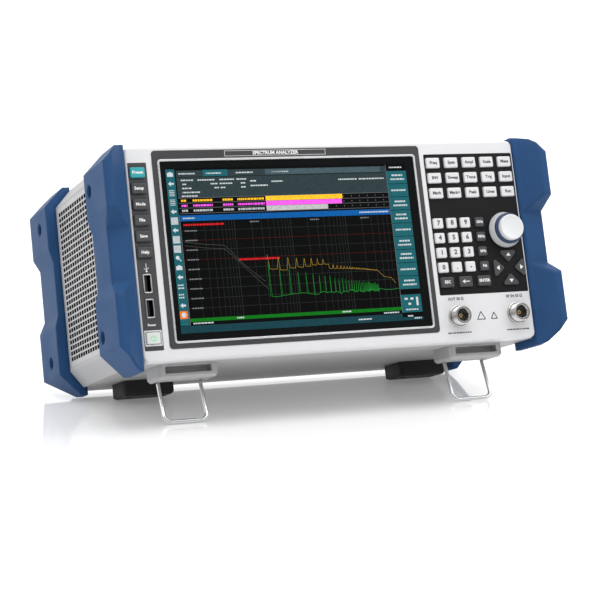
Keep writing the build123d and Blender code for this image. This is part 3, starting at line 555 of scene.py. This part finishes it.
icons, pale, help_icon, help_mark = Piece(), Piece(), Piece(), Piece()
front, back = layer(2)
for i in range(16):
    x, z = ICON_AT[0], ICON_AT[1] - ICON_PITCH * i
    if i in (5, 7, 8):
        pale.bar((x - 3.0, x + 3.0), (z - 3.0, z + 3.0), front, back)
    elif i == 15:
        help_icon.bar((x - 3.3, x + 3.3), (z - 3.1, z + 3.1), front, back)
        help_mark.disc(x, z, 2.1, *layer(3))
    elif i in (12, 13):
        greeked(icons, x - 2.6, z + 1.2, 5.0)
        greeked(icons, x - 2.6, z - 1.2, 5.0)
    elif i in (0, 10):
        icons.bar((x - 2.6, x + 2.6), (z - 1.8, z + 1.4), front, back)
        icons.bar((x - 1.0, x + 1.0), (z + 1.4, z + 2.1), front, back)
    elif i in (2, 3):
        for dz in (-2.2, -0.8, 0.6, 2.0):
            icons.bar((x - 2.3, x + 2.3), (z + dz - 0.25, z + dz + 0.3), front, back)
    elif i == 9:
        icons.disc(x - 0.5, z + 0.6, 1.6, front, back)
        icons.line([(x + 0.7, z - 0.6), (x + 2.4, z - 2.3)], 0.7, front, back)
    else:
        icons.prism([(x - 2.5, z), (x, z + 2.1), (x, z + 0.8), (x + 2.4, z + 0.8),
                     (x + 2.4, z - 0.8), (x, z - 0.8), (x, z - 2.1)], front, back)
for dx, dz, size in ((-4.5, 2.2, 1.5), (1.0, 2.2, 1.4), (-1.6, -2.2, 1.3)):
    icons.bar((62.6 + dx - size, 62.6 + dx + size), (37.4 + dz - 0.9, 37.4 + dz + 0.9), front, back)
icons.bar((67.4, 69.4), (33.6, 40.8), front, back)
icons.make("screen_icons", UI_WHITE)
pale.make("screen_icons_pale", UI_PALE)
help_icon.make("screen_help_icon", ORANGE)
help_mark.make("screen_help_mark", UI_WHITE)

grid, red_grid = Piece(), Piece()
plot_width = PLOT_X[1] - PLOT_X[0]
for i in range(1, 10):
    z = PLOT_Z[0] + (PLOT_Z[1] - PLOT_Z[0]) * i / 10
    (red_grid if i in (6, 8) else grid).bar(PLOT_X, (z - 0.11, z + 0.11), *layer(1))
for decade in range(4):
    for step in range(1, 10):
        share = (decade + math.log10(step)) / 3.78 - 0.02
        if 0.01 < share < 0.995:
            x = PLOT_X[0] + plot_width * share
            half = 0.16 if step == 1 else 0.09
            grid.bar((x - half, x + half), PLOT_Z, *layer(1))
grid.make("screen_grid", GRID)
red_grid.make("screen_grid_red", GRID_RED)
scale_words = Piece()
for i in range(1, 10):
    z = PLOT_Z[0] + (PLOT_Z[1] - PLOT_Z[0]) * i / 10
    greeked(scale_words, -133.5, z, 10.5, 1.0)
for x in (-76.0, -22.0, 24.0):
    greeked(scale_words, x, 110.6, 8.0, 1.0)
scale_words.make("screen_scale", UI_GREY)
red_words = Piece()
greeked(red_words, -134.0, 109.6, 35.0, 1.5)
greeked(red_words, -88.9, 79.4, 36.0, 1.5)
red_words.make("screen_red_words", RED)

upper, lower, dim = Piece(), Piece(), Piece()
front, back = layer(3)
start = [(-134.8, 95.6), (-118, 93.2), (-100.6, 91.7), (-95.5, 87.0), (-88.9, 78.8),
         (-80.0, 70.6), (-68.0, 60.4)]
dim.line(start, 0.28, front, back)
dim.line([(x, z - 3.0) for x, z in start[:4]] + [(-88.9, 77.0), (-66.0, 54.0)], 0.24, front, back)
dim.make("screen_trace_start", UI_DIM)
crest, floor_line = [], []
x = -64.0
gap = 9.5
while x < 34.0:
    share = (x + 64.0) / 98.0
    top = 82.0 - 8.5 * share ** 0.7 + random.uniform(-1.2, 1.2) * (1 - share)
    if share > 0.55:
        top = 72.4 - 7.0 * (share - 0.55) / 0.45
    dip = max(top - 12.0 * (1 - share) ** 1.5, 60)
    crest += [(x, top), (x + gap * 0.12, dip), (x + gap * 0.8, dip - 0.4)]
    peak = 76.0 - 22.5 * share ** 0.8 + random.uniform(-1.0, 1.0)
    base = 48.6 + random.uniform(-1.2, 0.8)
    lower.line([(x - gap * 0.07, base), (x, peak), (x + gap * 0.08, base)], 0.17, front, back)
    floor_line += [(x, base), (x + gap * 0.5, base + random.uniform(-0.8, 0.8))]
    x += gap
    gap = max(0.62, gap * 0.9)
crest += [(34.0, 65.7), (40.2, 59.5), (46.5, 58.4), (50.4, 53.6)]
floor_line += [(34.0, 49.9), (40.0, 48.4), (46.0, 48.2), (52.4, 49.0)]
upper.line(crest, 0.2, front, back)
lower.line(floor_line, 0.26, *layer(4))
upper.make("screen_trace_upper", YELLOW)
lower.make("screen_trace_lower", GREEN)

# ---- print on the frame and the panel ---------------------------------------
FRAME_Y = -0.5
label = Piece()
for x, z in (((-92.6, -1.4), (165.9, 166.2)), ((-92.6, -1.4), (170.3, 170.6)),
             ((-92.5, -92.2), (166.0, 170.5)), ((-1.8, -1.5), (166.0, 170.5))):
    label.bar(x, z, FRAME_Y - 0.05, FRAME_Y)
label.make("frame_label_box", PRINT)
lettering(
    "frame_label_words",
    [("SPECTRUM ANALYZER", -47.0, 168.2, 3.0)],
    PRINT, front=FRAME_Y,
)
lettering(
    "panel_words",
    [("OUT 50 Ω", 104.9, 37.0, 2.5), ("RF IN 50 Ω", 162.0, 37.0, 2.5)],
    INK, front=0.0,
)
small_print = Piece()
for x, width in ((104.9, 22.0), (162.0, 22.0)):
    at = x - width / 2
    while at < x + width / 2 - 1:
        dash = random.uniform(1.0, 3.0)
        small_print.bar((at, at + dash), (7.4, 8.5), -0.05, 0.0)
        at += dash + 0.6
small_print.line([(123.6, 18.4), (131.4, 18.4), (127.5, 25.2), (123.6, 18.4)], 0.8, -0.05, 0)
small_print.line([(137.0, 18.4), (143.0, 18.4), (140.0, 24.0), (137.0, 18.4)], 0.8, -0.05, 0)
small_print.make("panel_small_print", INK)
strip_marks = Piece()
strip_marks.line([(-169.3, 79.4), (-169.3, 73.2)], 0.5, 0.05, 0.1)
strip_marks.line([(-171.4, 75.4), (-169.3, 74.2), (-167.2, 76.0)], 0.4, 0.05, 0.1)
strip_marks.disc(-169.3, 73.0, 0.8, 0.05, 0.1)
strip_marks.make("usb_mark", PRINT)
lettering("power_word", [("Power", -169.2, 29.6, 1.9)], PRINT, front=0.1)

# ---- key legends ------------------------------------------------------------
SIDE_PITCH = 13.1
FUNCTION_PITCH = (17.5, 13.35)
NUMBER_TOP, NUMBER_PITCH = 103.0, (13.1, 12.85)
ARROWS_AT = (160.6, 62.0)
POWER_AT = (-169.2, 18.6)
KEY_TOP = -2.2
LEGEND_THICK = 0.04


def legends(node, words, material):
    lettering(f"{node}_legend", words, material, node, front=KEY_TOP, thick=LEGEND_THICK)


for row, text in enumerate(("Preset", "Setup", "Mode", "File", "Save", "Help")):
    node = ("preset_key", "system_key", "mode_key", "file_key", "save_key", "help_key")[row]
    legends(node, [(text, -169.5, 153.7 - SIDE_PITCH * row, 2.6)], PRINT)
FUNCTION_WORDS = (
    ("Freq", "Span", "Ampl", "Scale", "Meas"),
    ("BW", "Sweep", "Trace", "Trig", "Input"),
    ("Mark", "Mark+", "Peak", "Lines", "Run"),
)
for row, line in enumerate(FUNCTION_WORDS):
    z = 156.1 - FUNCTION_PITCH[1] * row
    legends(
        f"function_key_row_{row + 1}",
        [(text, 98.2 + FUNCTION_PITCH[0] * i, z, 2.8) for i, text in enumerate(line)], INK,
    )
for row, line in enumerate(("789", "456", "123", "0.-")):
    z = NUMBER_TOP - NUMBER_PITCH[1] * row
    legends(
        f"number_key_row_{row + 1}",
        [(text, 96.3 + NUMBER_PITCH[0] * i, z, 4.2) for i, text in enumerate(line)], INK,
    )
legends(
    "unit_keys",
    [
        (text, 136.2, NUMBER_TOP - NUMBER_PITCH[1] * i, 2.5)
        for i, text in enumerate(("GHz", "MHz", "kHz", "Hz"))
    ],
    PRINT,
)
for i, (node, text) in enumerate((("escape_key", "ESC"), ("enter_key", "ENTER"))):
    legends(node, [(text, 98.3 + 35.8 * i, 51.6, 2.6)], PRINT)
mark = Piece()
mark.line([(113.2, 51.6), (119.4, 51.6)], 0.7, KEY_TOP - LEGEND_THICK, KEY_TOP)
mark.prism([(112.4, 51.6), (115.0, 53.4), (115.0, 49.8)], KEY_TOP - LEGEND_THICK, KEY_TOP)
mark.make("backspace_mark", PRINT, "backspace_key")
ARROWS = ("right_arrow_key", "up_arrow_key", "left_arrow_key", "down_arrow_key")
for turn, node in enumerate(ARROWS):
    angle = math.radians(90 * turn)
    tip = Piece()
    corners = [(13.2, 0.0), (10.2, 2.2), (10.2, -2.2)]
    tip.prism(
        [(ARROWS_AT[0] + u * math.cos(angle) - v * math.sin(angle),
          ARROWS_AT[1] + u * math.sin(angle) + v * math.cos(angle)) for u, v in corners],
        -1.84, -1.8,
    )
    tip.make(f"{node}_mark", PRINT, node)
symbol = Piece()
for i in range(20):
    a0, a1 = (math.radians(125 + 290 * k / 20) for k in (i, i + 1))
    symbol.line(
        [(POWER_AT[0] + 2.0 * math.cos(a), POWER_AT[1] + 2.0 * math.sin(a)) for a in (a0, a1)],
        0.5, -1.66, -1.6,
    )
symbol.line([(-169.2, 18.8), (-169.2, 21.2)], 0.5, -1.66, -1.6)
POWER_GREEN = glow("power_green", (0.03, 0.62, 0.16), 1.1)
symbol.make("power_symbol", POWER_GREEN, "power_key")

# ---- knob and jacks ---------------------------------------------------------
cap = Piece()
cap.lathe(*KNOB, [
    (0, -14.3), (6.5, -14.4), (9.2, -14.7), (10.2, -15.0), (10.9, -14.8), (11.2, -14.2),
    (11.3, -10.6), (0, -10.6),
])
cap = cap.make("knob_cap", CAP, "tuning_knob", "knob_white", smooth=50)
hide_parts("tuning_knob")
ring = Piece()
ring.lathe(*KNOB, [
    (0, -10.55), (12.7, -10.55), (13.3, -10.3), (13.5, -9.7), (13.5, -7.65), (0, -7.65),
])
ring.make("knob_ring", RING, "tuning_knob", "knob_blue", smooth=50)
skirt = Piece()
skirt.lathe(*KNOB, [
    (0, -7.6), (13.6, -7.6), (13.9, -7.3), (15.2, -3.0), (15.6, -2.2), (15.6, -1.2), (3.0, -1.2),
    (3.0, 9.0), (0, 9.0),
])
skirt = skirt.make("knob_flange", SKIRT, "tuning_knob", "knob_blue", smooth=50)
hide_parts("knob_skirt")

THREAD_PITCH = 1.058
JACK_Z = 22.0
for node, x in (("generator_jack", 105.5), ("rf_input_jack", 162.5)):
    profile = [(5.6, -9.5), (7.3, -9.5), (7.55, -9.2)]
    y = -9.0
    while y < -2.9:
        profile += [(7.94, y), (7.94, y + 0.22), (7.38, y + 0.55), (7.38, y + 0.68)]
        y += THREAD_PITCH
    profile += [(7.6, -2.3), (9.0, -2.3), (9.4, -2.0), (9.4, 0.0), (4.9, 0.0), (4.9, -8.2),
                (5.0, -8.6)]
    nose = Piece()
    nose.lathe(x, JACK_Z, profile, 96)
    nose = nose.make(f"{node}_nose", NICKEL, "chassis", "jack_nickel", smooth=25)
    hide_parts(node)
    liner = Piece()
    liner.lathe(x, JACK_Z, [
        (2.2, -1.0), (4.85, -1.0), (4.85, 0.0), (7.9, 0.0), (7.9, 16.0), (2.2, 16.0),
    ], 64)
    liner.make(f"{node}_barrel", NICKEL, "chassis", "jack_nickel", smooth=25)
    nut = Piece()
    nut.disc(x, JACK_Z, 10.6, 16.0, 20.0, 6)
    nut.make(f"{node}_nut", NICKEL, "chassis", "jack_nickel")

# ---- painted shade: pleated dark sheets behind the side grilles -------------
PLEAT_DEPTH, PLEAT_PITCH, PLEATS = 1.4, 2.5, 55
# The black sheets stand for the shade inside the case, seen through the grille slots.
for side, sign in (("left", -1), ("right", 1)):
    folds = [(sign * (190.6 - PLEAT_DEPTH * (i % 2)), 20.0 + PLEAT_PITCH * i) for i in range(PLEATS)]
    backs = [(x - sign * 0.6, z) for x, z in reversed(folds)]
    pleats = Piece()
    pleats.prism(folds + backs, 46.0, 155.0)
    pleats.make(f"side_shade_sheet_{side}", BLACK)

# ---- light, floor, camera ---------------------------------------------------
floor_material, nodes, links, shader = new_material("floor_finish")
coord = nodes.new("ShaderNodeTexCoord")
grain = noise(nodes, links, coord, 3.0, 4.0)
links.new(
    mixed(nodes, links, spread(nodes, links, grain, 0, 1), (0.90, 0.90, 0.90), (0.92, 0.92, 0.92)),
    shader.inputs["Base Color"],
)
links.new(spread(nodes, links, grain, 0.05, 0.09), shader.inputs["Roughness"])
shader.inputs["Specular IOR Level"].default_value = 0.7
shader.inputs["Emission Color"].default_value = (1, 1, 1, 1)
shader.inputs["Emission Strength"].default_value = 0.16
bpy.ops.mesh.primitive_plane_add(size=80, location=(0, 20.0, -0.0005))
floor = bpy.context.object
floor.name = "floor"
floor.data.materials.append(floor_material)

world = bpy.data.worlds.new("studio")
bpy.context.scene.world = world
world.use_nodes = True
nodes, links = world.node_tree.nodes, world.node_tree.links
background = nodes["Background"]
coord = nodes.new("ShaderNodeTexCoord")
toward = nodes.new("ShaderNodeVectorMath")      # bright behind and above, dimmer in front
toward.operation = "DOT_PRODUCT"
toward.inputs[1].default_value = (0.0, 0.8, 0.6)
links.new(coord.outputs["Generated"], toward.inputs[0])
links.new(
    spread(nodes, links, toward.outputs["Value"], 0.35, 1.25, (-0.6, 0.6)),
    background.inputs["Strength"],
)
background.inputs["Color"].default_value = (1, 1, 1, 1)


def softbox(name, place, aim, size, power):
    light = bpy.data.lights.new(name, "AREA")
    light.shape = "RECTANGLE"
    light.size, light.size_y = size
    light.energy = power
    thing = bpy.data.objects.new(name, light)
    bpy.context.scene.collection.objects.link(thing)
    thing.location = place
    thing.rotation_mode = "QUATERNION"
    thing.rotation_quaternion = (Vector(aim) - Vector(place)).to_track_quat("-Z", "Y")


softbox("overhead", (0.1, -0.5, 1.3), (0, 0, 0.1), (1.4, 1.0), 10)
softbox("right_key", (1.3, -1.0, 1.1), (0.1, 0, 0.1), (0.9, 0.9), 4)
softbox("left_fill", (-1.5, -0.5, 0.9), (-0.1, 0, 0.1), (0.8, 0.9), 2.5)

CAMERA_FROM = Vector((-0.632, -1.356, 0.231))   # from the level origin, metres
CAMERA_DOWN, CAMERA_YAW = 5.98, 22.92           # degrees
camera_data = bpy.data.cameras.new("photo_angle")
camera_data.lens = 109.4
camera_data.sensor_width = 36.0
camera_data.shift_x, camera_data.shift_y = 0.0267, -0.0667
camera = bpy.data.objects.new("photo_angle", camera_data)
bpy.context.scene.collection.objects.link(camera)
camera.location = LEVEL.to_translation() + CAMERA_FROM
camera.rotation_euler = (math.radians(90 - CAMERA_DOWN), 0, -math.radians(CAMERA_YAW))
bpy.context.scene.camera = camera
bpy.context.scene.view_settings.view_transform = "Standard"
